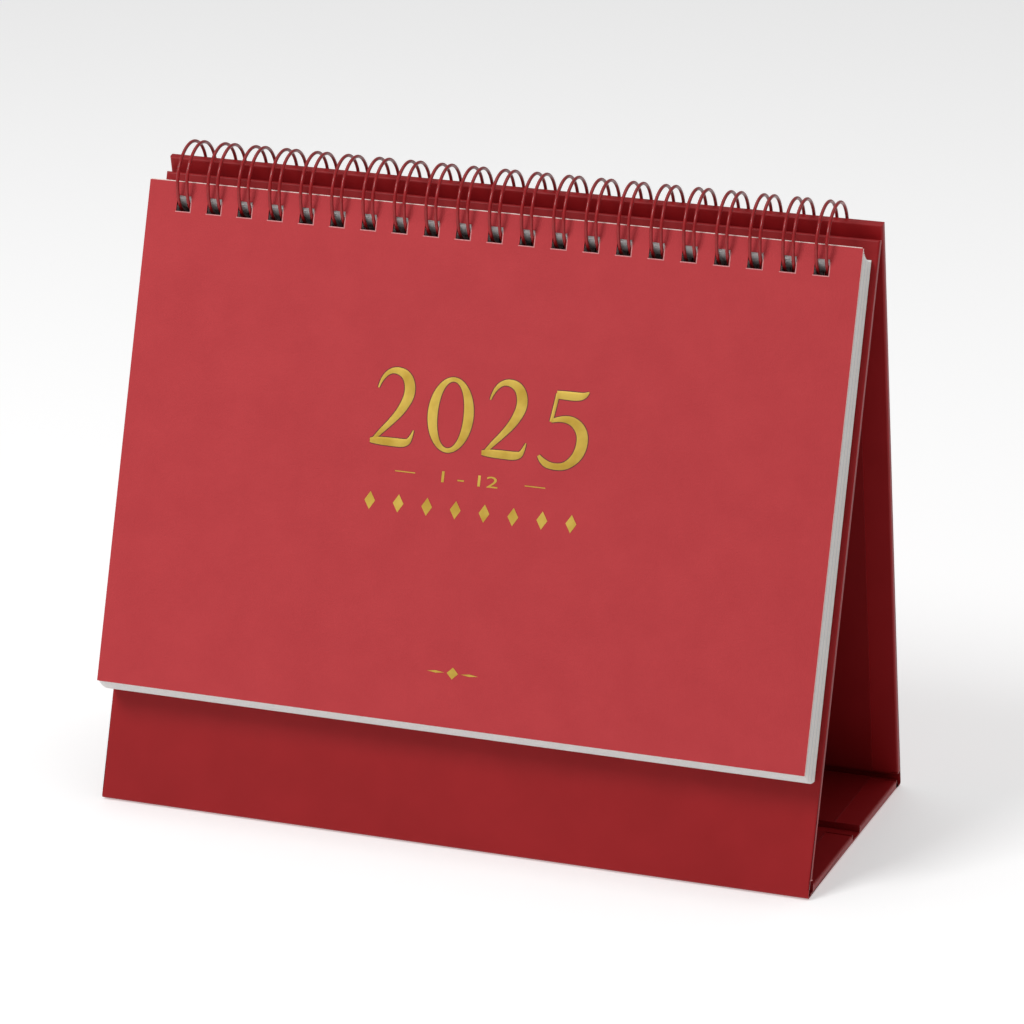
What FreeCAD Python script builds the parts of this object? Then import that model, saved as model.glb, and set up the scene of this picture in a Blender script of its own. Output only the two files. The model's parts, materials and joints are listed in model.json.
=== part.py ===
import FreeCAD, Part
import math
import os

# Flip desk calendar: a folding A-frame stand of paper-wrapped board, a twin-loop wire
# binding along its top, and a stack of punched sheets that hangs in front of it.
# Millimetres. +X is the width, -Y is the front, +Z is up, and the origin is on the
# table under the middle of the stand.

# Stand
panelWidth = 190.6
frontLength = 163.7      # front panel, along its slope
backRise = 3.9           # the back panel is this much longer
baseDepth = 90.5
frontTopY = -2.39        # outer top edge of the front panel
backTopY = 1.87          # outer top edge of the back panel
coreThick = 2.0
wrapThick = 0.3
turnIn = 15.0            # width of the wrap that is folded over the inner face
linerThick = 0.25
linerInset = 7.0         # bare wrap that shows round the liner
hingeDepth = 1.9         # crease axis, inside the outer faces
creaseGutter = 2.4       # board-free paper beside the front and rear creases
creaseRound = 0.7        # outer radius of the paper at a bottom crease
centreGutter = 3.9       # board-free paper on each side of the centre crease
centreGap = 0.15         # half the slit between the two halves of the centre crease
centreLift = 0.3         # crease paper, clear of the table
centrePaper = 0.5

# Wire binding
pitch = 8.467
loopCount = 21
wireDia = 0.87
loopGap = 2.6            # between the two wires of a loop
ringBehind = 1.25        # wire centreline, behind the back panel
ringAhead = 3.21         # ring axis, in front of the front panel's top edge
ringBelowTop = 0.49      # ring axis, below that edge
rootBend = 0.9
seamStart = 1.0          # start of the root bends, past the mouth of the gap between the boards
seamGap = 0.3            # between the loop tips and the root bars
bindingShift = -0.7      # the wire and the sheets sit a little to one side

# Punched holes
boardHoleWide = 4.4
boardHoleTall = 5.2
sheetHoleWide = 3.8
sheetHoleTall = 4.0
holeFromTop = 5.5        # centre of a sheet's holes, below its top edge

# Sheets
coverWidth = 189.1
coverHeight = 129.7
coverThick = 0.7
pageWidth = 189.0
pageHeight = 129.3
pageThick = 0.3
cardThick = 0.4
monthCount = 12
stackTop = 10.0          # cover's front face, off the front panel, level with the holes
stackBottom = 11.2       # the same at the foot of the sheets
stackClear = 0.45        # between the front panel and the sheet next to it

backLength = frontLength + backRise
frontAngle = math.asin((baseDepth / 2 + frontTopY) / frontLength)
backAngle = math.asin((baseDepth / 2 - backTopY) / backLength)
ringY = frontTopY - ringAhead
ringZ = frontLength * math.cos(frontAngle) - ringBelowTop
panelThick = wrapThick + coreThick
# The wire's radius: it runs from the sheets in front round behind the back panel.
axisToBackFace = (baseDepth / 2 - ringY) * math.cos(backAngle) - ringZ * math.sin(backAngle)
ringRadius = axisToBackFace + ringBehind


class Slab:
    """A flat panel's own directions: across, in from its outer face, and along its slope."""

    def __init__(self, corner, inward, along):
        self.corner = FreeCAD.Vector(0, corner[0], corner[1])
        self.inward = FreeCAD.Vector(0, inward[0], inward[1])
        self.along = FreeCAD.Vector(0, along[0], along[1])
        self.across = self.inward.cross(self.along)

    def point(self, x, depth, s):
        spot = self.corner + self.inward * depth + self.along * s
        return FreeCAD.Vector(x, spot.y, spot.z)

    def box(self, x, depth, s):
        """A box between two values of x, of depth and of distance along the slab."""
        sign = self.across.x
        low = min(sign * x[0], sign * x[1])
        block = Part.makeBox(x[1] - x[0], depth[1] - depth[0], s[1] - s[0])
        block.translate(FreeCAD.Vector(low, depth[0], s[0]))
        a = self.across
        n = self.inward
        u = self.along
        c = self.corner
        place = FreeCAD.Matrix(
            a.x, n.x, u.x, c.x,
            a.y, n.y, u.y, c.y,
            a.z, n.z, u.z, c.z,
            0, 0, 0, 1,
        )
        return block.transformed(place)


def save(shape, node):
    shape.exportStep("parts/" + node + ".step")
    print(node, round(shape.Volume, 1), shape.isValid(), len(shape.Solids))


def loopX(index):
    return (index - (loopCount - 1) / 2) * pitch + bindingShift


def ringPoint(x, angle, radius=ringRadius):
    return FreeCAD.Vector(x, ringY + radius * math.cos(angle), ringZ + radius * math.sin(angle))


def slabOffset(slab):
    """How far the ring's axis is in from a slab's outer face, and how far along the slab."""
    axis = FreeCAD.Vector(0, ringY, ringZ) - slab.corner
    return axis.dot(slab.inward), axis.dot(slab.along)


def wireCrossing(slab, depth):
    """Distance along a slab at which the underside of the ring meets the given depth."""
    axisDepth, axisAlong = slabOffset(slab)
    return axisAlong - math.sqrt(ringRadius ** 2 - (depth - axisDepth) ** 2)


def punch(shape, slab, depth, centre, wide, tall):
    holes = []
    for index in range(loopCount):
        x = loopX(index)
        holes.append(slab.box((x - wide / 2, x + wide / 2), depth, (centre - tall / 2, centre + tall / 2)))
    return shape.cut(Part.makeCompound(holes))


def makePanel(name, slab, foot, end, topWrapped, holeCentre=None):
    """Core, wrap and liner of one panel. foot is where its outer skin starts, at a crease."""
    half = panelWidth / 2
    coreStart = foot + creaseGutter
    coreEnd = end - (wrapThick if topWrapped else 0)
    low = (wrapThick, panelThick - wrapThick)
    core = slab.box((-half + wrapThick, half - wrapThick), low, (coreStart, coreEnd))
    raisedEnd = end - (turnIn if topWrapped else 0)
    raised = slab.box((-half + turnIn, half - turnIn), (wrapThick, panelThick), (coreStart, raisedEnd))
    core = core.fuse(raised).removeSplitter()
    block = slab.box((-half, half), (0, panelThick), (coreStart, end))
    skin = slab.box((-half, half), (0, wrapThick), (foot, coreStart + turnIn))
    wrap = block.fuse(skin).cut(core).removeSplitter()
    # The liner covers the inner face, turns down over the board's bare ends and lines the gutter.
    across = (-half + linerInset, half - linerInset)
    linerTop = panelThick + linerThick
    linerEnd = end - (linerInset if topWrapped else 0)
    liner = slab.box(across, (panelThick, linerTop), (coreStart - linerThick, linerEnd))
    ends = [slab.box((-half, half), (wrapThick, linerTop), (coreStart - linerThick, coreStart))]
    ends.append(slab.box((-half, half), (wrapThick, wrapThick + linerThick), (foot, coreStart)))
    if not topWrapped:
        ends.append(slab.box((-half, half), (centreLift + centrePaper, linerTop), (end, end + linerThick)))
        liner = liner.fuse(slab.box(across, (panelThick, linerTop), (end - linerThick, end + linerThick)))
    liner = liner.fuse(ends).removeSplitter()
    through = (-1, panelThick + 1)
    if holeCentre is not None:
        core = punch(core, slab, through, holeCentre, boardHoleWide, boardHoleTall)
        wrap = punch(wrap, slab, through, holeCentre, boardHoleWide, boardHoleTall)
        liner = punch(liner, slab, through, holeCentre, boardHoleWide, boardHoleTall)
    save(core, name + "_core")
    save(wrap, name + "_wrap")
    save(liner, name + "_liner")


def makeCrease(node, slab, foot, corner):
    """The bent paper outside a bottom crease, from a panel's outer face round to the table."""
    half = corner / 2
    bisector = 1 / math.tan(half)
    width = -panelWidth / 2

    def profile(radius, offset):
        # Points down the panel's face, round the bend and along the base, at an offset inwards.
        centreAlong = creaseRound * bisector
        panelEnd = slab.point(width, offset, foot)
        panelBend = slab.point(width, offset, centreAlong)
        centre = slab.point(width, creaseRound, centreAlong)
        side = 1 if slab.inward.y > 0 else -1
        baseBend = FreeCAD.Vector(width, centre.y, offset)
        baseEnd = FreeCAD.Vector(width, slab.corner.y + side * foot, offset)
        outwards = (panelBend + baseBend) * 0.5 - centre
        middle = centre + outwards * (radius / outwards.Length)
        return panelEnd, panelBend, middle, baseBend, baseEnd

    outer = profile(creaseRound, 0)
    inner = profile(creaseRound - wrapThick, wrapThick)
    edges = [
        Part.makeLine(outer[0], outer[1]),
        Part.Arc(outer[1], outer[2], outer[3]).toShape(),
        Part.makeLine(outer[3], outer[4]),
        Part.makeLine(outer[4], inner[4]),
        Part.makeLine(inner[4], inner[3]),
        Part.Arc(inner[3], inner[2], inner[1]).toShape(),
        Part.makeLine(inner[1], inner[0]),
        Part.makeLine(inner[0], outer[0]),
    ]
    face = Part.Face(Part.Wire(edges))
    save(face.extrude(FreeCAD.Vector(panelWidth, 0, 0)), node)


def makeWire(frontSlab):
    """One continuous wire: root bars joined by twin loops, each closed by a hairpin tip."""
    axisDepth, axisAlong = slabOffset(frontSlab)
    mouth = math.acos((panelThick + linerThick - axisDepth) / ringRadius)
    mouthAngle = -frontAngle - mouth
    tipReach = loopGap / 2
    barAngle = mouthAngle + (seamStart + wireDia + seamGap) / ringRadius
    startAngle = barAngle + rootBend / ringRadius
    endAngle = barAngle - (wireDia + seamGap + tipReach) / ringRadius + 2 * math.pi
    middleAngle = (startAngle + endAngle) / 2
    startTangent = FreeCAD.Vector(0, -math.sin(startAngle), math.cos(startAngle))
    endTangent = FreeCAD.Vector(0, -math.sin(endAngle), math.cos(endAngle))
    across = FreeCAD.Vector(1, 0, 0)
    diagonal = math.sqrt(0.5)
    edges = []
    for index in range(loopCount):
        x = loopX(index)
        left = x - loopGap / 2
        right = x + loopGap / 2
        rootIn = ringPoint(left, startAngle)
        rootOut = ringPoint(right, startAngle)
        tipIn = ringPoint(left, endAngle)
        tipOut = ringPoint(right, endAngle)
        barIn = rootIn - across * rootBend - startTangent * rootBend
        barOut = rootOut + across * rootBend - startTangent * rootBend
        bendIn = rootIn - across * rootBend * (1 - diagonal) - startTangent * rootBend * diagonal
        bendOut = rootOut + across * rootBend * (1 - diagonal) - startTangent * rootBend * diagonal
        tip = ringPoint(x, endAngle) + endTangent * tipReach
        joinLeft = FreeCAD.Vector(x - pitch / 2, barIn.y, barIn.z)
        joinRight = FreeCAD.Vector(x + pitch / 2, barOut.y, barOut.z)
        edges.append(Part.makeLine(joinLeft, barIn))
        edges.append(Part.Arc(barIn, bendIn, rootIn).toShape())
        edges.append(Part.Arc(rootIn, ringPoint(left, middleAngle), tipIn).toShape())
        edges.append(Part.Arc(tipIn, tip, tipOut).toShape())
        edges.append(Part.Arc(tipOut, ringPoint(right, middleAngle), rootOut).toShape())
        edges.append(Part.Arc(rootOut, bendOut, barOut).toShape())
        edges.append(Part.makeLine(barOut, joinRight))
    path = Part.Wire(edges)
    start = edges[0].Vertexes[0].Point
    section = Part.Wire(Part.makeCircle(wireDia / 2, start, across))
    wire = path.makePipeShell([section], True, True)
    save(wire, "twin_loop_wire")


def makeSheet(node, frontSlab, place, width, height, thick):
    """A punched sheet. place counts forwards from the backing card, which is 0."""
    order = place / (monthCount + 1)
    room = stackTop - stackClear - coverThick
    backFace = stackClear + room * order
    lean = math.atan((stackBottom - stackTop) / (coverHeight - holeFromTop)) * order
    hangAngle = frontAngle + lean
    along = (math.sin(hangAngle), math.cos(hangAngle))
    inward = (math.cos(hangAngle), -math.sin(hangAngle))
    # The hole's centre is where the sheet's plane meets the underside of the ring.
    planeDepth = -backFace - thick / 2
    hole = frontSlab.point(0, planeDepth, wireCrossing(frontSlab, planeDepth))
    sheet = Slab((hole.y, hole.z), inward, along)
    half = width / 2
    body = sheet.box(
        (bindingShift - half, bindingShift + half),
        (-thick / 2, thick / 2),
        (holeFromTop - height, holeFromTop),
    )
    body = punch(body, sheet, (-thick, thick), 0, sheetHoleWide, sheetHoleTall)
    save(body, node)


def main():
    os.makedirs("parts", exist_ok=True)
    halfDepth = baseDepth / 2
    frontUp = (math.sin(frontAngle), math.cos(frontAngle))
    frontIn = (math.cos(frontAngle), -math.sin(frontAngle))
    backUp = (-math.sin(backAngle), math.cos(backAngle))
    backIn = (-math.cos(backAngle), -math.sin(backAngle))
    front = Slab((-halfDepth, 0), frontIn, frontUp)
    back = Slab((halfDepth, 0), backIn, backUp)
    baseFront = Slab((-halfDepth, 0), (0, 1), (1, 0))
    baseBack = Slab((halfDepth, 0), (0, 1), (-1, 0))

    frontFoot = hingeDepth / math.tan((math.pi / 2 - frontAngle) / 2)
    backFoot = hingeDepth / math.tan((math.pi / 2 - backAngle) / 2)
    frontHole = (wireCrossing(front, 0) + wireCrossing(front, panelThick + linerThick)) / 2
    backHole = (wireCrossing(back, 0) + wireCrossing(back, panelThick + linerThick)) / 2
    makePanel("front_panel", front, frontFoot, frontLength, True, frontHole)
    makePanel("back_panel", back, backFoot, backLength, True, backHole)
    baseEnd = halfDepth - centreGutter
    makePanel("base_front", baseFront, frontFoot, baseEnd, False)
    makePanel("base_back", baseBack, backFoot, baseEnd, False)

    makeCrease("front_crease", front, frontFoot, math.pi / 2 - frontAngle)
    makeCrease("rear_crease", back, backFoot, math.pi / 2 - backAngle)
    for node, slab in (("centre_crease_front", baseFront), ("centre_crease_back", baseBack)):
        paper = slab.box(
            (-panelWidth / 2, panelWidth / 2),
            (centreLift, centreLift + centrePaper),
            (baseEnd, halfDepth - centreGap),
        )
        save(paper, node)

    makeWire(front)
    makeSheet("cover_sheet", front, monthCount + 1, coverWidth, coverHeight, coverThick)
    for month in range(1, monthCount + 1):
        makeSheet("month_sheet_%02d" % month, front, monthCount + 1 - month, pageWidth, pageHeight, pageThick)
    makeSheet("backing_card", front, 0, pageWidth, pageHeight, cardThick)


main()
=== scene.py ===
import bpy
import calendar
import json
import math
from mathutils import Matrix, Vector

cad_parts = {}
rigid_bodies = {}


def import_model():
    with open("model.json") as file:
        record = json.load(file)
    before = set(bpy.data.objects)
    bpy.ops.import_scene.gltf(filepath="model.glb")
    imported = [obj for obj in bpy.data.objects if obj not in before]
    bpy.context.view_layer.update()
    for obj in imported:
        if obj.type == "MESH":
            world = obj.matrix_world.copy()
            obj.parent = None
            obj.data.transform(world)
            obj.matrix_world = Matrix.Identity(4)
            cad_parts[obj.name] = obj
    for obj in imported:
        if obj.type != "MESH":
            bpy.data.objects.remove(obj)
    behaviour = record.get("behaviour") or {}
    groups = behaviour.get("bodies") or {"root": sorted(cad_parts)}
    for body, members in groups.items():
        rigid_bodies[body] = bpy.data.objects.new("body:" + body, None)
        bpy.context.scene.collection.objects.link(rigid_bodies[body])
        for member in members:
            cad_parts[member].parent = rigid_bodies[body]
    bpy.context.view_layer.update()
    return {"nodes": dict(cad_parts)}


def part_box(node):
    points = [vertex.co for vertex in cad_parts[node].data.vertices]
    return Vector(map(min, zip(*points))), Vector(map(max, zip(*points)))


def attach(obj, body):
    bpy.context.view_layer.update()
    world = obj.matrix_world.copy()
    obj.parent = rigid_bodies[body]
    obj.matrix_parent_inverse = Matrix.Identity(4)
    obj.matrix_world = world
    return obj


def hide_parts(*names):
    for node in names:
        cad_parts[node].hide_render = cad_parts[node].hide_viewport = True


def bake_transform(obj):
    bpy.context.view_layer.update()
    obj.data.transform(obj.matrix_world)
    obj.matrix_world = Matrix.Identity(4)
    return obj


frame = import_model()
bpy.ops.object.select_all(action="DESELECT")

mm = 0.001
nodes = frame["nodes"]
monthCount = sum(1 for name in nodes if name.startswith("month_sheet_"))
print("frame loaded,", len(nodes), "CAD nodes,", monthCount, "month sheets")


# camera, floor and lights
shot = {
    "yaw": 19.0,                        # degrees to the right of straight on
    "pitch": 16.66,
    "roll": 1.18,
    "distance": 1.1739,
    "lens": 160.1,
    "sensor": 36,
    "target": (0.00033, 0.0, 0.07643),
}


def placeCamera():
    yaw = math.radians(shot["yaw"])
    pitch = math.radians(shot["pitch"])
    roll = math.radians(shot["roll"])
    back = Vector((math.sin(yaw) * math.cos(pitch), -math.cos(yaw) * math.cos(pitch), math.sin(pitch)))
    right = Vector((math.cos(yaw), math.sin(yaw), 0))
    up = back.cross(right)
    side = right * math.cos(roll) + up * math.sin(roll)
    top = up * math.cos(roll) - right * math.sin(roll)
    turn = Matrix((side, top, back)).transposed().to_4x4()
    bpy.ops.object.camera_add()
    camera = bpy.context.object
    camera.name = "camera"
    camera.data.lens = shot["lens"]
    camera.data.sensor_width = shot["sensor"]
    camera.matrix_world = Matrix.Translation(Vector(shot["target"]) + back * shot["distance"]) @ turn
    bpy.context.scene.camera = camera
    bpy.ops.object.select_all(action="DESELECT")


studio = {
    "floorSize": 6.0,
    "floorColor": (0.80, 0.80, 0.80, 1),
    "floorRoughness": 0.9,
    "floorDrop": 0.0004,                # keeps the floor clear of the base
    "aimHeight": 0.08,
    "floorGlow": 0.46,
    "world": (1.0, 1.0, 1.0, 1),
    "worldPower": 0.36,
    "key": {"at": (-0.50, -0.95, 1.15), "size": 0.5, "power": 11.4},
    "fill": {"at": (-1.0, -1.1, 0.4), "size": 1.0, "power": 1.8},
    "top": {"at": (0.1, 0.25, 1.5), "size": 1.0, "power": 4.5},
}


def addLamp(name, spec):
    bpy.ops.object.light_add(type="AREA", location=spec["at"])
    lamp = bpy.context.object
    lamp.name = name + "_light"
    lamp.data.shape = "SQUARE"
    lamp.data.size = spec["size"]
    lamp.data.energy = spec["power"]
    aim = Vector((0, 0, studio["aimHeight"])) - Vector(spec["at"])
    lamp.rotation_euler = aim.to_track_quat("-Z", "Y").to_euler()
    bpy.ops.object.select_all(action="DESELECT")


def buildStudio():
    bpy.ops.mesh.primitive_plane_add(size=studio["floorSize"], location=(0, 0, -studio["floorDrop"]))
    floor = bpy.context.object
    floor.name = "floor"
    bpy.ops.object.transform_apply(location=True, rotation=True, scale=True)
    floorFinish = bpy.data.materials.new("paleFloor")
    floorFinish.use_nodes = True
    shader = floorFinish.node_tree.nodes["Principled BSDF"]
    shader.inputs["Base Color"].default_value = studio["floorColor"]
    shader.inputs["Roughness"].default_value = studio["floorRoughness"]
    shader.inputs["Emission Color"].default_value = studio["floorColor"]
    shader.inputs["Emission Strength"].default_value = studio["floorGlow"]
    floor.data.materials.append(floorFinish)
    bpy.ops.object.select_all(action="DESELECT")
    world = bpy.data.worlds.new("softStudio")
    world.use_nodes = True
    sky = world.node_tree.nodes["Background"]
    sky.inputs["Color"].default_value = studio["world"]
    sky.inputs["Strength"].default_value = studio["worldPower"]
    bpy.context.scene.world = world
    for name in ("key", "fill", "top"):
        addLamp(name, studio[name])
    bpy.context.scene.view_settings.view_transform = "Standard"


placeCamera()
buildStudio()
print("camera and studio in place")


# finishes
def startMaterial(name, roughness):
    made = bpy.data.materials.new(name)
    made.use_nodes = True
    shader = made.node_tree.nodes["Principled BSDF"]
    shader.inputs["Roughness"].default_value = roughness
    return made, made.node_tree, shader


def addNode(tree, kind, **values):
    node = tree.nodes.new(kind)
    for name, value in values.items():
        node.inputs[name].default_value = value
    return node


def objectNoise(tree, scale, detail=3.0, rough=0.5):
    coord = next((n for n in tree.nodes if n.bl_idname == "ShaderNodeTexCoord"), None)
    if coord is None:
        coord = tree.nodes.new("ShaderNodeTexCoord")
    noise = addNode(tree, "ShaderNodeTexNoise", Scale=scale, Detail=detail, Roughness=rough)
    tree.links.new(coord.outputs["Object"], noise.inputs["Vector"])
    return noise


def objectCells(tree, scale):
    coord = next(n for n in tree.nodes if n.bl_idname == "ShaderNodeTexCoord")
    cells = addNode(tree, "ShaderNodeTexVoronoi", Scale=scale)
    tree.links.new(coord.outputs["Object"], cells.inputs["Vector"])
    return cells


def blendColors(tree, factor, first, second, low=0.35, high=0.65):
    ramp = tree.nodes.new("ShaderNodeValToRGB")
    ramp.color_ramp.elements[0].position = low
    ramp.color_ramp.elements[0].color = first
    ramp.color_ramp.elements[1].position = high
    ramp.color_ramp.elements[1].color = second
    tree.links.new(factor, ramp.inputs["Fac"])
    return ramp


def addBump(tree, shader, height, strength, distance, below=None):
    bump = addNode(tree, "ShaderNodeBump", Strength=strength, Distance=distance)
    tree.links.new(height, bump.inputs["Height"])
    if below is not None:
        tree.links.new(below.outputs["Normal"], bump.inputs["Normal"])
    tree.links.new(bump.outputs["Normal"], shader.inputs["Normal"])
    return bump


leather = {
    "low": (0.418, 0.032, 0.038, 1),
    "high": (0.442, 0.036, 0.042, 1),
    "roughness": 0.60,
    "grain": 2600.0,                    # pebbles to the metre
    "pores": 5200.0,
    "cloud": 90.0,
    "ripple": 420.0,
    "poreBump": (0.35, 0.00008),        # strength and height in metres
    "grainBump": (0.28, 0.00012),
    "rippleBump": (0.18, 0.0003),
    "specular": 0.22,
}


def makeLeather():
    made, tree, shader = startMaterial("redLeatherette", leather["roughness"])
    cloud = objectNoise(tree, leather["cloud"], 5.0, 0.6)
    tone = blendColors(tree, cloud.outputs["Fac"], leather["low"], leather["high"])
    tree.links.new(tone.outputs["Color"], shader.inputs["Base Color"])
    pores = objectNoise(tree, leather["pores"], 2.0)
    first = addBump(tree, shader, pores.outputs["Fac"], *leather["poreBump"])
    grain = objectCells(tree, leather["grain"])
    second = addBump(tree, shader, grain.outputs["Distance"], *leather["grainBump"], first)
    ripple = objectNoise(tree, leather["ripple"], 3.0)
    addBump(tree, shader, ripple.outputs["Fac"], *leather["rippleBump"], second)
    shader.inputs["Specular IOR Level"].default_value = leather["specular"]
    return made


wrapPaper = {
    "low": (0.272, 0.0078, 0.0098, 1),
    "high": (0.298, 0.0095, 0.0120, 1),
    "roughness": 0.43,
    "fibre": 3800.0,
    "cloud": 60.0,
    "board": 240.0,                     # the board's unevenness under the paper
    "fibreBump": (0.25, 0.00006),
    "boardBump": (0.12, 0.00025),
    "specular": 0.2,
}


def makeWrap(name, shade=1.0):
    made, tree, shader = startMaterial(name, wrapPaper["roughness"])
    cloud = objectNoise(tree, wrapPaper["cloud"], 4.0, 0.55)
    low = tuple(v * shade for v in wrapPaper["low"][:3]) + (1,)
    high = tuple(v * shade for v in wrapPaper["high"][:3]) + (1,)
    tone = blendColors(tree, cloud.outputs["Fac"], low, high)
    tree.links.new(tone.outputs["Color"], shader.inputs["Base Color"])
    fibre = objectNoise(tree, wrapPaper["fibre"], 3.0, 0.6)
    first = addBump(tree, shader, fibre.outputs["Fac"], *wrapPaper["fibreBump"])
    board = objectNoise(tree, wrapPaper["board"], 3.0)
    addBump(tree, shader, board.outputs["Fac"], *wrapPaper["boardBump"], first)
    shader.inputs["Specular IOR Level"].default_value = wrapPaper["specular"]
    return made


greyboard = {
    "low": (0.22, 0.20, 0.18, 1),
    "high": (0.36, 0.34, 0.31, 1),
    "roughness": 0.9,
    "flecks": 2600.0,
    "bump": (0.5, 0.0001),
}


def makeGreyboard():
    made, tree, shader = startMaterial("greyboardCut", greyboard["roughness"])
    flecks = objectNoise(tree, greyboard["flecks"], 4.0, 0.7)
    tone = blendColors(tree, flecks.outputs["Fac"], greyboard["low"], greyboard["high"], 0.4, 0.6)
    tree.links.new(tone.outputs["Color"], shader.inputs["Base Color"])
    addBump(tree, shader, flecks.outputs["Fac"], *greyboard["bump"])
    return made


enamel = {
    "low": (0.24, 0.004, 0.006, 1),
    "high": (0.29, 0.006, 0.008, 1),
    "roughness": 0.3,
    "streak": 700.0,
    "bump": (0.06, 0.0001),
    "coat": 0.25,
    "coatRoughness": 0.1,
    "specular": 0.3,
}


def makeEnamel():
    made, tree, shader = startMaterial("redWireCoating", enamel["roughness"])
    streak = objectNoise(tree, enamel["streak"], 2.0)
    tone = blendColors(tree, streak.outputs["Fac"], enamel["low"], enamel["high"])
    tree.links.new(tone.outputs["Color"], shader.inputs["Base Color"])
    addBump(tree, shader, streak.outputs["Fac"], *enamel["bump"])
    shader.inputs["Coat Weight"].default_value = enamel["coat"]
    shader.inputs["Coat Roughness"].default_value = enamel["coatRoughness"]
    shader.inputs["Specular IOR Level"].default_value = enamel["specular"]
    return made


paper = {
    "low": (0.86, 0.845, 0.835),
    "high": (0.93, 0.915, 0.905),
    "roughness": 0.78,
    "fibre": 1900.0,
    "bump": (0.15, 0.00005),
    "yellowing": (0, 0.4, 1),           # how far warmth takes out red, green and blue
}


def makePaper(name, warmth=0.0, shade=1.0):
    made, tree, shader = startMaterial(name, paper["roughness"])
    fibre = objectNoise(tree, paper["fibre"], 5.0, 0.7)
    low = tuple(v * shade - warmth * cut for v, cut in zip(paper["low"], paper["yellowing"]))
    high = tuple(v * shade - warmth * cut for v, cut in zip(paper["high"], paper["yellowing"]))
    tone = blendColors(tree, fibre.outputs["Fac"], low + (1,), high + (1,))
    tree.links.new(tone.outputs["Color"], shader.inputs["Base Color"])
    addBump(tree, shader, fibre.outputs["Fac"], *paper["bump"])
    return made


foil = {
    "low": (0.62, 0.39, 0.055, 1),
    "high": (0.82, 0.57, 0.11, 1),
    "roughness": 0.3,
    "metallic": 0.75,
    "sheen": 160.0,
    "grain": 4200.0,
    "bump": (0.12, 0.00005),
}


def makeFoil():
    made, tree, shader = startMaterial("goldFoil", foil["roughness"])
    sheen = objectNoise(tree, foil["sheen"], 3.0)
    tone = blendColors(tree, sheen.outputs["Fac"], foil["low"], foil["high"])
    tree.links.new(tone.outputs["Color"], shader.inputs["Base Color"])
    shader.inputs["Metallic"].default_value = foil["metallic"]
    grain = objectNoise(tree, foil["grain"], 2.0)
    addBump(tree, shader, grain.outputs["Fac"], *foil["bump"])
    return made


flatTone = {"roughness": 0.6, "speck": 3000.0}


def makeInk(name, low, high):
    # a thin printed colour; also serves the painted shade in the punched holes and round the year, and the
    # pale lips with painted highlight
    made, tree, shader = startMaterial(name, flatTone["roughness"])
    speck = objectNoise(tree, flatTone["speck"], 2.0)
    tone = blendColors(tree, speck.outputs["Fac"], low + (1,), high + (1,))
    tree.links.new(tone.outputs["Color"], shader.inputs["Base Color"])
    return made


leatherFinish = makeLeather()
wrapFinish = makeWrap("redWrapPaper")
# painted shade: the liner is the wrap paper darkened for the shade inside the stand
linerShadeFinish = makeWrap("redLinerPaintedShade", 0.78)
boardFinish = makeGreyboard()
wireFinish = makeEnamel()
whiteFinish = makePaper("whitePage")
creamFinish = makePaper("creamPageEdge", 0.14)
# painted shade: a darker copy of the page paper for the shade between some page edges
pageEdgeShadeFinish = makePaper("pageEdgePaintedShade", 0.02, 0.7)
cardFinish = makePaper("backingCard", 0.05)
foilFinish = makeFoil()
inkFinish = makeInk("printedInk", (0.03, 0.03, 0.032), (0.06, 0.055, 0.055))
redInkFinish = makeInk("printedRedInk", (0.42, 0.03, 0.03), (0.50, 0.045, 0.04))
# painted shade: dark red for the shade in the debossed outline round the gold year
yearRimShadeFinish = makeInk("yearRimPaintedShade", (0.10, 0.008, 0.009), (0.13, 0.012, 0.013))
# painted shade: near-black brown on the punched hole walls of the cover, pages and card
punchShadeFinish = makeInk("punchedWallPaintedShade", (0.05, 0.035, 0.033), (0.075, 0.055, 0.05))


cutEdgeAndHighlight = {
    "low": (0.72, 0.50, 0.47, 1),
    "high": (0.86, 0.72, 0.68, 1),
    "roughness": 0.8,
    "fibre": 2400.0,
    "bump": (0.3, 0.00006),
}


def makeCutEdge():
    # the pale core of the leatherette shows where it is cut and punched; on the strip along the cover's top
    # edge it is partly painted highlight
    made, tree, shader = startMaterial("leatheretteCutAndHighlight", cutEdgeAndHighlight["roughness"])
    fibre = objectNoise(tree, cutEdgeAndHighlight["fibre"], 3.0, 0.6)
    tone = blendColors(tree, fibre.outputs["Fac"], cutEdgeAndHighlight["low"], cutEdgeAndHighlight["high"])
    tree.links.new(tone.outputs["Color"], shader.inputs["Base Color"])
    addBump(tree, shader, fibre.outputs["Fac"], *cutEdgeAndHighlight["bump"])
    return made


cutCoreAndHighlightFinish = makeCutEdge()
# pale red: painted highlight on the lips below and right of each hole, and the pale line on the liner's side
# edges
paleEdgeAndHighlightFinish = makeInk("paleEdgeAndLipHighlight", (0.52, 0.16, 0.16), (0.60, 0.24, 0.24))


def paint(obj, finish):
    obj.data.materials.clear()
    obj.data.materials.append(finish)


# helpers for modelling on top of the CAD nodes
def flatNormal(obj):
    # direction of a sheet or panel: the normal that covers the most area
    sums = {}
    for face in obj.data.polygons:
        key = tuple(round(v, 2) for v in face.normal)
        sums[key] = sums.get(key, 0) + face.area
    best = max(sums, key=sums.get)
    pick = next(f for f in obj.data.polygons if tuple(round(v, 2) for v in f.normal) == best)
    return pick.normal.copy()


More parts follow.
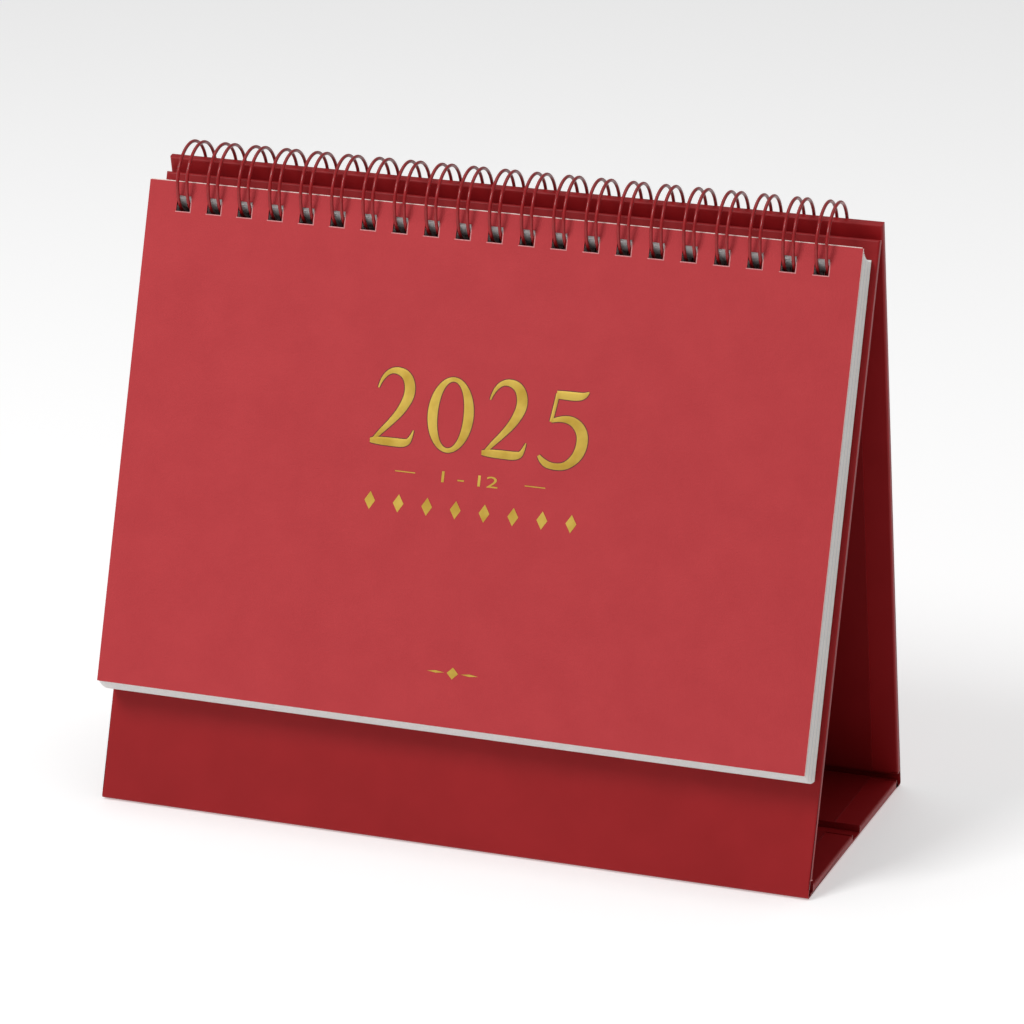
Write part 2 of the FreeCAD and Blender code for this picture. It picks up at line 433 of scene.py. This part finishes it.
class Plane:
    # a sheet's own directions: out of its front, up along it, and its top middle point
    def __init__(self, obj, front):
        normal = flatNormal(obj)
        if normal.dot(front) < 0:
            normal = -normal
        self.out = normal
        self.up = Vector((1, 0, 0)).cross(-normal).normalized()
        if self.up.z < 0:
            self.up = -self.up
        points = [v.co for v in obj.data.vertices]
        self.middle = (min(p.x for p in points) + max(p.x for p in points)) / 2
        self.top = max(p.dot(self.up) for p in points)
        self.face = max(p.dot(self.out) for p in points)

    def point(self, x, down, lift=0.0):
        along = self.up * (self.top - down) + self.out * (self.face + lift)
        return Vector((self.middle + x, 0, 0)) + along

    def matrix(self, x, down, lift=0.0):
        turn = Matrix((Vector((1, 0, 0)), self.up, self.out)).transposed().to_4x4()
        return Matrix.Translation(self.point(x, down, lift)) @ turn


frontward = Vector((0, -1, 0.3))      # the way the cover faces


def copyNode(name, pieceName):
    bpy.ops.object.select_all(action="DESELECT")
    source = nodes[name]
    source.select_set(True)
    bpy.context.view_layer.objects.active = source
    bpy.ops.object.duplicate()
    piece = bpy.context.object
    piece.name = pieceName
    bpy.ops.object.parent_clear(type="CLEAR_KEEP_TRANSFORM")
    bpy.ops.object.mode_set(mode="EDIT")
    bpy.ops.mesh.select_all(action="SELECT")
    bpy.ops.mesh.remove_doubles(threshold=0.000001)
    bpy.ops.mesh.dissolve_limited(angle_limit=math.radians(0.5))
    bpy.ops.mesh.normals_make_consistent(inside=False)
    bpy.ops.object.mode_set(mode="OBJECT")
    return piece


def bevelEdges(piece, wanted, width, segments):
    mesh = piece.data
    weight = mesh.attributes.get("bevel_weight_edge")
    if weight is None:
        weight = mesh.attributes.new("bevel_weight_edge", "FLOAT", "EDGE")
    for edge in mesh.edges:
        first, second = (mesh.vertices[i].co for i in edge.vertices)
        weight.data[edge.index].value = 1.0 if wanted(first, second) else 0.0
    bevel = piece.modifiers.new("softEdge", "BEVEL")
    bevel.limit_method = "WEIGHT"
    bevel.width = width
    bevel.segments = segments
    bevel.use_clamp_overlap = False
    bpy.context.view_layer.objects.active = piece
    bpy.ops.object.modifier_apply(modifier=bevel.name)


def finishPiece(piece, body, finish, smoothAngle=35.0):
    bpy.ops.object.select_all(action="DESELECT")
    piece.select_set(True)
    bpy.context.view_layer.objects.active = piece
    bpy.ops.object.transform_apply(location=True, rotation=True, scale=True)
    if smoothAngle:
        bpy.ops.object.shade_smooth_by_angle(angle=math.radians(smoothAngle))
    paint(piece, finish)
    if body:
        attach(piece, body)
    bpy.ops.object.select_all(action="DESELECT")


# stand: cores, wraps, liners and creases
stand = {
    "panels": ("front_panel", "back_panel", "base_front", "base_back"),
    "wrapSoft": 0.5 * mm,
    "segments": 4,
    "touch": 0.02 * mm,
    "parallel": 0.98,
}


def rimTest(piece, panel):
    # the wrapped edges of a panel: its two sides, and the top edge of an upright panel
    points = [v.co for v in piece.data.vertices]
    side = max(abs(p.x) for p in points) - stand["touch"]
    direction = Plane(piece, frontward)
    top = direction.top - stand["touch"]

    def wanted(first, second):
        run = (second - first).normalized()
        onSide = min(abs(first.x), abs(second.x)) > side and abs(run.dot(direction.up)) > stand["parallel"]
        height = min(first.dot(direction.up), second.dot(direction.up))
        onTop = height > top and abs(run.x) > stand["parallel"]
        return onSide or (onTop and panel.endswith("panel"))

    return wanted


def paintLiner(liner):
    # the liner's trimmed side edges show as a thin paler line
    paint(liner, linerShadeFinish)
    liner.data.materials.append(paleEdgeAndHighlightFinish)
    reach = max(abs(v.co.x) for v in liner.data.vertices) - stand["touch"]
    for face in liner.data.polygons:
        onEdge = abs(face.normal.x) > stand["parallel"] and abs(face.center.x) > reach
        face.material_index = 1 if onEdge else 0


def buildStand():
    for panel in stand["panels"]:
        paint(nodes[panel + "_core"], boardFinish)
        wrap = copyNode(panel + "_wrap", panel + "_wrap_soft")
        bevelEdges(wrap, rimTest(wrap, panel), stand["wrapSoft"], stand["segments"])
        finishPiece(wrap, panel, wrapFinish, 0)
        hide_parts(panel + "_wrap")
        paintLiner(nodes[panel + "_liner"])
    for node, upper, lower in (
        ("front_crease", "front_panel", "base_front"),
        ("rear_crease", "back_panel", "base_back"),
    ):
        bend = copyNode(node, node + "_bend")
        finishPiece(bend, None, wrapFinish, 60.0)
        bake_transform(bend)
        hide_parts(node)
    for node in ("centre_crease_front", "centre_crease_back"):
        paint(nodes[node], wrapFinish)
    paint(nodes["twin_loop_wire"], wireFinish)
    print("stand and wire finished")


buildStand()


# sheets
sheetWork = {
    "holeBand": (2.0 * mm, 9.5 * mm),   # below the top edge
    "sideMargin": 1.5 * mm,
    # the darker edge tone is painted shade between the pages; the cream is the paper's own tone
    "edgeTones": (whiteFinish, pageEdgeShadeFinish, whiteFinish, creamFinish),
}


def paintEdges(sheet, edgeFinish):
    # the cut edges get their own finish and the punched hole walls get painted shade; the faces keep the
    # first
    plane = Plane(sheet, frontward)
    reach = max(v.co.x for v in sheet.data.vertices) - plane.middle - sheetWork["sideMargin"]
    sheet.data.materials.append(edgeFinish)
    sheet.data.materials.append(punchShadeFinish)
    for face in sheet.data.polygons:
        if abs(face.normal.dot(plane.out)) > 0.5:
            face.material_index = 0
            continue
        down = plane.top - face.center.dot(plane.up)
        punched = sheetWork["holeBand"][0] < down < sheetWork["holeBand"][1]
        inner = abs(face.center.x - plane.middle) < reach
        face.material_index = 2 if punched and inner else 1


def buildSheets():
    paint(nodes["cover_sheet"], leatherFinish)
    paintEdges(nodes["cover_sheet"], cutCoreAndHighlightFinish)
    for month in range(1, monthCount + 1):
        sheet = nodes["month_sheet_%02d" % month]
        paint(sheet, whiteFinish)
        paintEdges(sheet, sheetWork["edgeTones"][month % len(sheetWork["edgeTones"])])
    paint(nodes["backing_card"], cardFinish)
    paintEdges(nodes["backing_card"], cardFinish)
    print("sheets finished")


buildSheets()


# pale strip along the cover's top edge, partly its cut core and partly painted highlight, and painted
# highlight on the lips round the punched holes
coverCore = {
    "proud": 0.22 * mm,
    "depth": 0.45 * mm,
    "sideGap": 0.3 * mm,
    "holePitch": 8.467 * mm,
    "holeCount": 21,
    "holeDown": 5.5 * mm,
    "holeSize": (3.8 * mm, 4.0 * mm),
    "lip": 0.26 * mm,
    "lipRise": 0.05 * mm,
    "lipLift": 0.004 * mm,
    "lipSideShare": 0.86,               # of the hole's height
    "lipSideDrop": 0.07,
    "setBack": 0.12 * mm,
    "worn": 0.08 * mm,
}


def flatBox(name, wide, high, thick):
    bpy.ops.mesh.primitive_plane_add(size=1)
    strip = bpy.context.object
    strip.name = name
    strip.data.transform(Matrix.Diagonal((wide, high, 1, 1)))
    shell = strip.modifiers.new("thickness", "SOLIDIFY")
    shell.thickness = thick
    shell.offset = 1.0
    bpy.ops.object.modifier_apply(modifier=shell.name)
    return strip


def placeFlat(piece, plane, x, down, lift):
    # a shape drawn in XY goes onto the sheet, centred on x and down
    piece.data.transform(plane.matrix(x, down, lift))
    piece.data.update()


def copyPiece(piece):
    twin = piece.copy()
    twin.data = piece.data.copy()
    bpy.context.collection.objects.link(twin)
    return twin


def joinPieces(pieces, name):
    bpy.ops.object.select_all(action="DESELECT")
    for piece in pieces:
        piece.select_set(True)
    bpy.context.view_layer.objects.active = pieces[0]
    if len(pieces) > 1:
        bpy.ops.object.join()
    joined = bpy.context.object
    joined.name = name
    bpy.ops.object.select_all(action="DESELECT")
    return joined


def buildCoverCore():
    plane = Plane(nodes["cover_sheet"], frontward)
    low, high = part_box("cover_sheet")
    wide = high.x - low.x - 2 * coverCore["sideGap"]
    # a pale strip behind the cover, proud of its top edge: the cut core, partly painted highlight
    rim = flatBox("cover_top_core_highlight", wide, 2 * coverCore["proud"], coverCore["depth"])
    bevel = rim.modifiers.new("worn", "BEVEL")
    bevel.width = coverCore["worn"]
    bevel.segments = 2
    bpy.ops.object.modifier_apply(modifier=bevel.name)
    placeFlat(rim, plane, 0, 0, -coverCore["depth"] - coverCore["setBack"])
    finishPiece(rim, "cover", cutCoreAndHighlightFinish)

    holeWide, holeHigh = coverCore["holeSize"]
    lip = coverCore["lip"]
    # raised strips only below and to the right of each hole carry painted highlight
    foot = flatBox("lipFoot", holeWide + 2 * lip, lip, coverCore["lipRise"])
    foot.data.transform(Matrix.Translation((0, -holeHigh / 2 - lip / 2, 0)))
    side = flatBox("lipSide", lip, holeHigh * coverCore["lipSideShare"], coverCore["lipRise"])
    side.data.transform(Matrix.Translation((holeWide / 2 + lip / 2, -holeHigh * coverCore["lipSideDrop"], 0)))
    pattern = joinPieces([foot, side], "lipPattern")
    lips = []
    for index in range(coverCore["holeCount"]):
        x = (index - (coverCore["holeCount"] - 1) / 2) * coverCore["holePitch"]
        one = copyPiece(pattern)
        placeFlat(one, plane, x, coverCore["holeDown"], coverCore["lipLift"])
        lips.append(one)
    bpy.data.objects.remove(pattern)
    finishPiece(joinPieces(lips, "cover_hole_lip_highlights"), "cover", paleEdgeAndHighlightFinish, 0)
    print("cover core and hole lips finished")


buildCoverCore()


# printed month pages: a ruled grid, the month's number and its days
page = {
    "columns": 7,
    "rows": 6,
    "left": -84.0 * mm,
    "top": 31.0 * mm,
    "cell": (24.0 * mm, 15.3 * mm),
    "rule": 0.22 * mm,
    "thick": 0.012 * mm,
    "lift": 0.008 * mm,
    "dayHeight": 4.2 * mm,
    "dayAt": (4.6 * mm, 5.0 * mm),      # from a cell's top left corner
    "monthHeight": 11.0 * mm,
    "monthAt": (-77.0 * mm, 19.5 * mm),
    "resolution": 2,
    "rowLift": 0.001 * mm,              # rules across lie on the rules down
    "year": 2025,
}


def textMesh(text, resolution, height, width=None):
    # centred on the origin; it keeps its own proportions where no width is given
    bpy.ops.object.text_add()
    bpy.context.object.data.body = text
    bpy.context.object.data.resolution_u = resolution
    bpy.ops.object.convert(target="MESH")
    obj = bpy.context.object
    points = [v.co.copy() for v in obj.data.vertices]
    lowX, highX = min(p.x for p in points), max(p.x for p in points)
    lowY, highY = min(p.y for p in points), max(p.y for p in points)
    tall = height / (highY - lowY)
    wide = width / (highX - lowX) if width else tall
    centre = Matrix.Translation((-(lowX + highX) / 2, -(lowY + highY) / 2, 0))
    obj.data.transform(Matrix.Diagonal((wide, tall, 1, 1)) @ centre)
    return obj


def numberMesh(text, height):
    obj = textMesh(text, page["resolution"], height)
    shell = obj.modifiers.new("inkThickness", "SOLIDIFY")
    shell.thickness = page["thick"]
    shell.offset = 1.0
    bpy.ops.object.modifier_apply(modifier=shell.name)
    return obj


def gridMesh():
    wide = page["columns"] * page["cell"][0]
    high = page["rows"] * page["cell"][1]
    lines = []
    for column in range(page["columns"] + 1):
        line = flatBox("line", page["rule"], high, page["thick"])
        x = page["left"] + column * page["cell"][0]
        line.data.transform(Matrix.Translation((x, -page["top"] - high / 2, 0)))
        lines.append(line)
    for row in range(page["rows"] + 1):
        line = flatBox("line", wide, page["rule"], page["thick"])
        y = -page["top"] - row * page["cell"][1]
        line.data.transform(Matrix.Translation((page["left"] + wide / 2, y, page["rowLift"])))
        lines.append(line)
    return joinPieces(lines, "gridPattern")


def printMonths():
    days = {day: numberMesh(str(day), page["dayHeight"]) for day in range(1, 32)}
    grid = gridMesh()
    for month in range(1, monthCount + 1):
        body = "month_%02d" % month
        plane = Plane(nodes["month_sheet_%02d" % month], frontward)
        firstDay, dayCount = calendar.monthrange(page["year"], month)
        shift = (firstDay + 1) % page["columns"]      # weeks start on the red column
        black, red = [], []
        for day in range(1, dayCount + 1):
            row, column = divmod(shift + day - 1, page["columns"])
            number = copyPiece(days[day])
            x = page["left"] + column * page["cell"][0] + page["dayAt"][0]
            down = page["top"] + row * page["cell"][1] + page["dayAt"][1]
            placeFlat(number, plane, x, down, page["lift"])
            (red if column == 0 else black).append(number)
        rules = copyPiece(grid)
        placeFlat(rules, plane, 0, 0, page["lift"])
        title = numberMesh(str(month), page["monthHeight"])
        placeFlat(title, plane, *page["monthAt"], page["lift"])
        finishPiece(joinPieces(black + [rules], body + "_print"), body, inkFinish, 0)
        finishPiece(joinPieces(red + [title], body + "_red_print"), body, redInkFinish, 0)
    for spare in list(days.values()) + [grid]:
        bpy.data.objects.remove(spare)
    print("month pages printed")


printMonths()


# gold foil on the cover
foilWork = {
    "lift": 0.03 * mm,
    "thick": 0.03 * mm,
    "rimLift": 0.006 * mm,
    "rimThick": 0.012 * mm,
    "rimWide": 0.24 * mm,
    "resolution": 6,
    "figureWide": 0.63,                 # share of the figure height
    "year": {"text": "2025", "x": 0.9 * mm, "down": 51.6 * mm, "height": 18.9 * mm, "width": 56.8 * mm},
    "months": {"text": "1 - 12", "x": 0.3 * mm, "down": 67.2 * mm, "height": 2.8 * mm, "width": 15.0 * mm},
    "rules": {"x": (-17.0 * mm, 17.6 * mm), "down": 67.1 * mm, "length": 5.4 * mm, "width": 0.26 * mm},
    "row": {"count": 8, "x": (-25.6 * mm, 28.0 * mm), "down": 75.2 * mm, "size": 2.3 * mm, "slim": 0.62},
    "mark": {"x": 1.3 * mm, "down": 116.0 * mm, "size": 1.5 * mm, "wing": 4.6 * mm, "rule": 0.3 * mm,
             "reach": 0.65},
}

# strokes of the numerals, one figure height tall: across, up, half width
ring = [
    (
        0.315 + 0.262 * math.cos(math.radians(30 * step)),
        0.5 + 0.490 * math.sin(math.radians(30 * step)),
        0.026 + 0.046 * math.cos(math.radians(30 * step)) ** 2,
    )
    for step in range(12)
]
figures = {
    "2": [
        [
            (0.055, 0.76, 0.010), (0.09, 0.90, 0.022), (0.24, 1.03, 0.036),
            (0.45, 0.97, 0.066), (0.52, 0.74, 0.076), (0.42, 0.50, 0.058),
            (0.27, 0.31, 0.040), (0.14, 0.17, 0.032), (0.06, 0.07, 0.022),
        ],
        [
            (0.010, 0.050, 0.030), (0.10, 0.055, 0.050), (0.30, 0.055, 0.055),
            (0.50, 0.055, 0.054), (0.575, 0.10, 0.028), (0.610, 0.24, 0.007),
        ],
    ],
    "0": [ring],
    "5": [
        [
            (0.175, 0.925, 0.050), (0.30, 0.925, 0.056), (0.46, 0.925, 0.056),
            (0.565, 0.945, 0.040), (0.615, 1.0, 0.008),
        ],
        [(0.190, 0.940, 0.024), (0.165, 0.76, 0.022), (0.135, 0.560, 0.022)],
        [
            (0.135, 0.570, 0.022), (0.26, 0.62, 0.034), (0.46, 0.60, 0.062),
            (0.60, 0.44, 0.078), (0.58, 0.18, 0.074), (0.42, 0.00, 0.050),
            (0.24, -0.03, 0.040), (0.08, 0.01, 0.048), (0.010, 0.10, 0.020),
        ],
    ],
}


def strokeMesh(points, closed, height, spread, thick):
    bpy.ops.object.select_all(action="DESELECT")
    path = bpy.data.curves.new("stroke", "CURVE")
    path.dimensions = "3D"
    path.resolution_u = 7
    path.bevel_depth = height
    path.bevel_resolution = 3
    path.use_fill_caps = True
    spline = path.splines.new("NURBS")
    spline.points.add(len(points) - 1)
    for point, (x, y, half) in zip(spline.points, points):
        point.co = (x * height, y * height, 0, 1)
        point.radius = half + spread / height
    spline.use_cyclic_u = closed
    spline.use_endpoint_u = not closed
    spline.order_u = 3
    obj = bpy.data.objects.new("stroke", path)
    bpy.context.collection.objects.link(obj)
    bpy.context.view_layer.objects.active = obj
    obj.select_set(True)
    bpy.ops.object.convert(target="MESH")
    obj = bpy.context.object
    tall = max(v.co.z for v in obj.data.vertices)
    obj.data.transform(Matrix.Diagonal((1, 1, thick / tall, 1)))
    return obj


def buildYear(name, spread, lift, thick):
    spec = foilWork["year"]
    strokes = []
    step = (spec["width"] - foilWork["figureWide"] * spec["height"]) / (len(spec["text"]) - 1)
    for place, figure in enumerate(spec["text"]):
        for points in figures[figure]:
            stroke = strokeMesh(points, points is ring, spec["height"], spread, thick)
            corner = (place * step - spec["width"] / 2, -spec["height"] / 2, 0)
            stroke.data.transform(Matrix.Translation(corner))
            strokes.append(stroke)
    year = joinPieces(strokes, name)
    placeFlat(year, Plane(nodes["cover_sheet"], frontward), spec["x"], spec["down"], lift)
    return year


def thicken(piece):
    bpy.context.view_layer.objects.active = piece
    shell = piece.modifiers.new("foilThickness", "SOLIDIFY")
    shell.thickness = foilWork["thick"]
    shell.offset = 1.0
    bpy.ops.object.modifier_apply(modifier=shell.name)


def flatShape(name, radius, turn=0.0):
    bpy.ops.mesh.primitive_circle_add(vertices=4, radius=radius, fill_type="NGON", rotation=(0, 0, turn))
    obj = bpy.context.object
    obj.name = name
    bpy.ops.object.transform_apply(location=True, rotation=True, scale=True)
    return obj


def buildFoil():
    plane = Plane(nodes["cover_sheet"], frontward)
    year = buildYear("foil_year", 0, foilWork["lift"], foilWork["thick"])
    finishPiece(year, "cover", foilFinish, 40.0)
    # a wider dark copy of the year under the foil: painted shade round the debossed figures
    rim = buildYear("foil_year_shade_rim", foilWork["rimWide"], foilWork["rimLift"], foilWork["rimThick"])
    finishPiece(rim, "cover", yearRimShadeFinish, 40.0)
    line = foilWork["months"]
    months = textMesh(line["text"], foilWork["resolution"], line["height"], line["width"])
    months.name = "foil_months"
    placeFlat(months, plane, line["x"], line["down"], foilWork["lift"])
    done = [months]

    rules = []
    for x in foilWork["rules"]["x"]:
        length = foilWork["rules"]["length"]
        rule = flatShape("rule", length / math.sqrt(2), math.radians(45))
        rule.data.transform(Matrix.Diagonal((1, foilWork["rules"]["width"] / length, 1, 1)))
        placeFlat(rule, plane, x, foilWork["rules"]["down"], foilWork["lift"])
        rules.append(rule)
    done.append(joinPieces(rules, "foil_rules"))

    row = foilWork["row"]
    diamonds = []
    for index in range(row["count"]):
        x = row["x"][0] + (row["x"][1] - row["x"][0]) * index / (row["count"] - 1)
        diamond = flatShape("diamond", row["size"])
        diamond.data.transform(Matrix.Diagonal((row["slim"], 1, 1, 1)))
        placeFlat(diamond, plane, x, row["down"], foilWork["lift"])
        diamonds.append(diamond)
    done.append(joinPieces(diamonds, "foil_row"))

    mark = foilWork["mark"]
    centre = flatShape("markCentre", mark["size"])
    placeFlat(centre, plane, mark["x"], mark["down"], foilWork["lift"])
    wings = [centre]
    for side in (-1, 1):
        wing = flatShape("markWing", mark["wing"] / 2)
        wing.data.transform(Matrix.Diagonal((1, mark["rule"] / mark["wing"] * 2, 1, 1)))
        x = mark["x"] + side * (mark["size"] + mark["wing"] * mark["reach"])
        placeFlat(wing, plane, x, mark["down"], foilWork["lift"])
        wings.append(wing)
    done.append(joinPieces(wings, "foil_mark"))

    for piece in done:
        thicken(piece)
        finishPiece(piece, "cover", foilFinish, 0)
    print("foil stamped")


buildFoil()
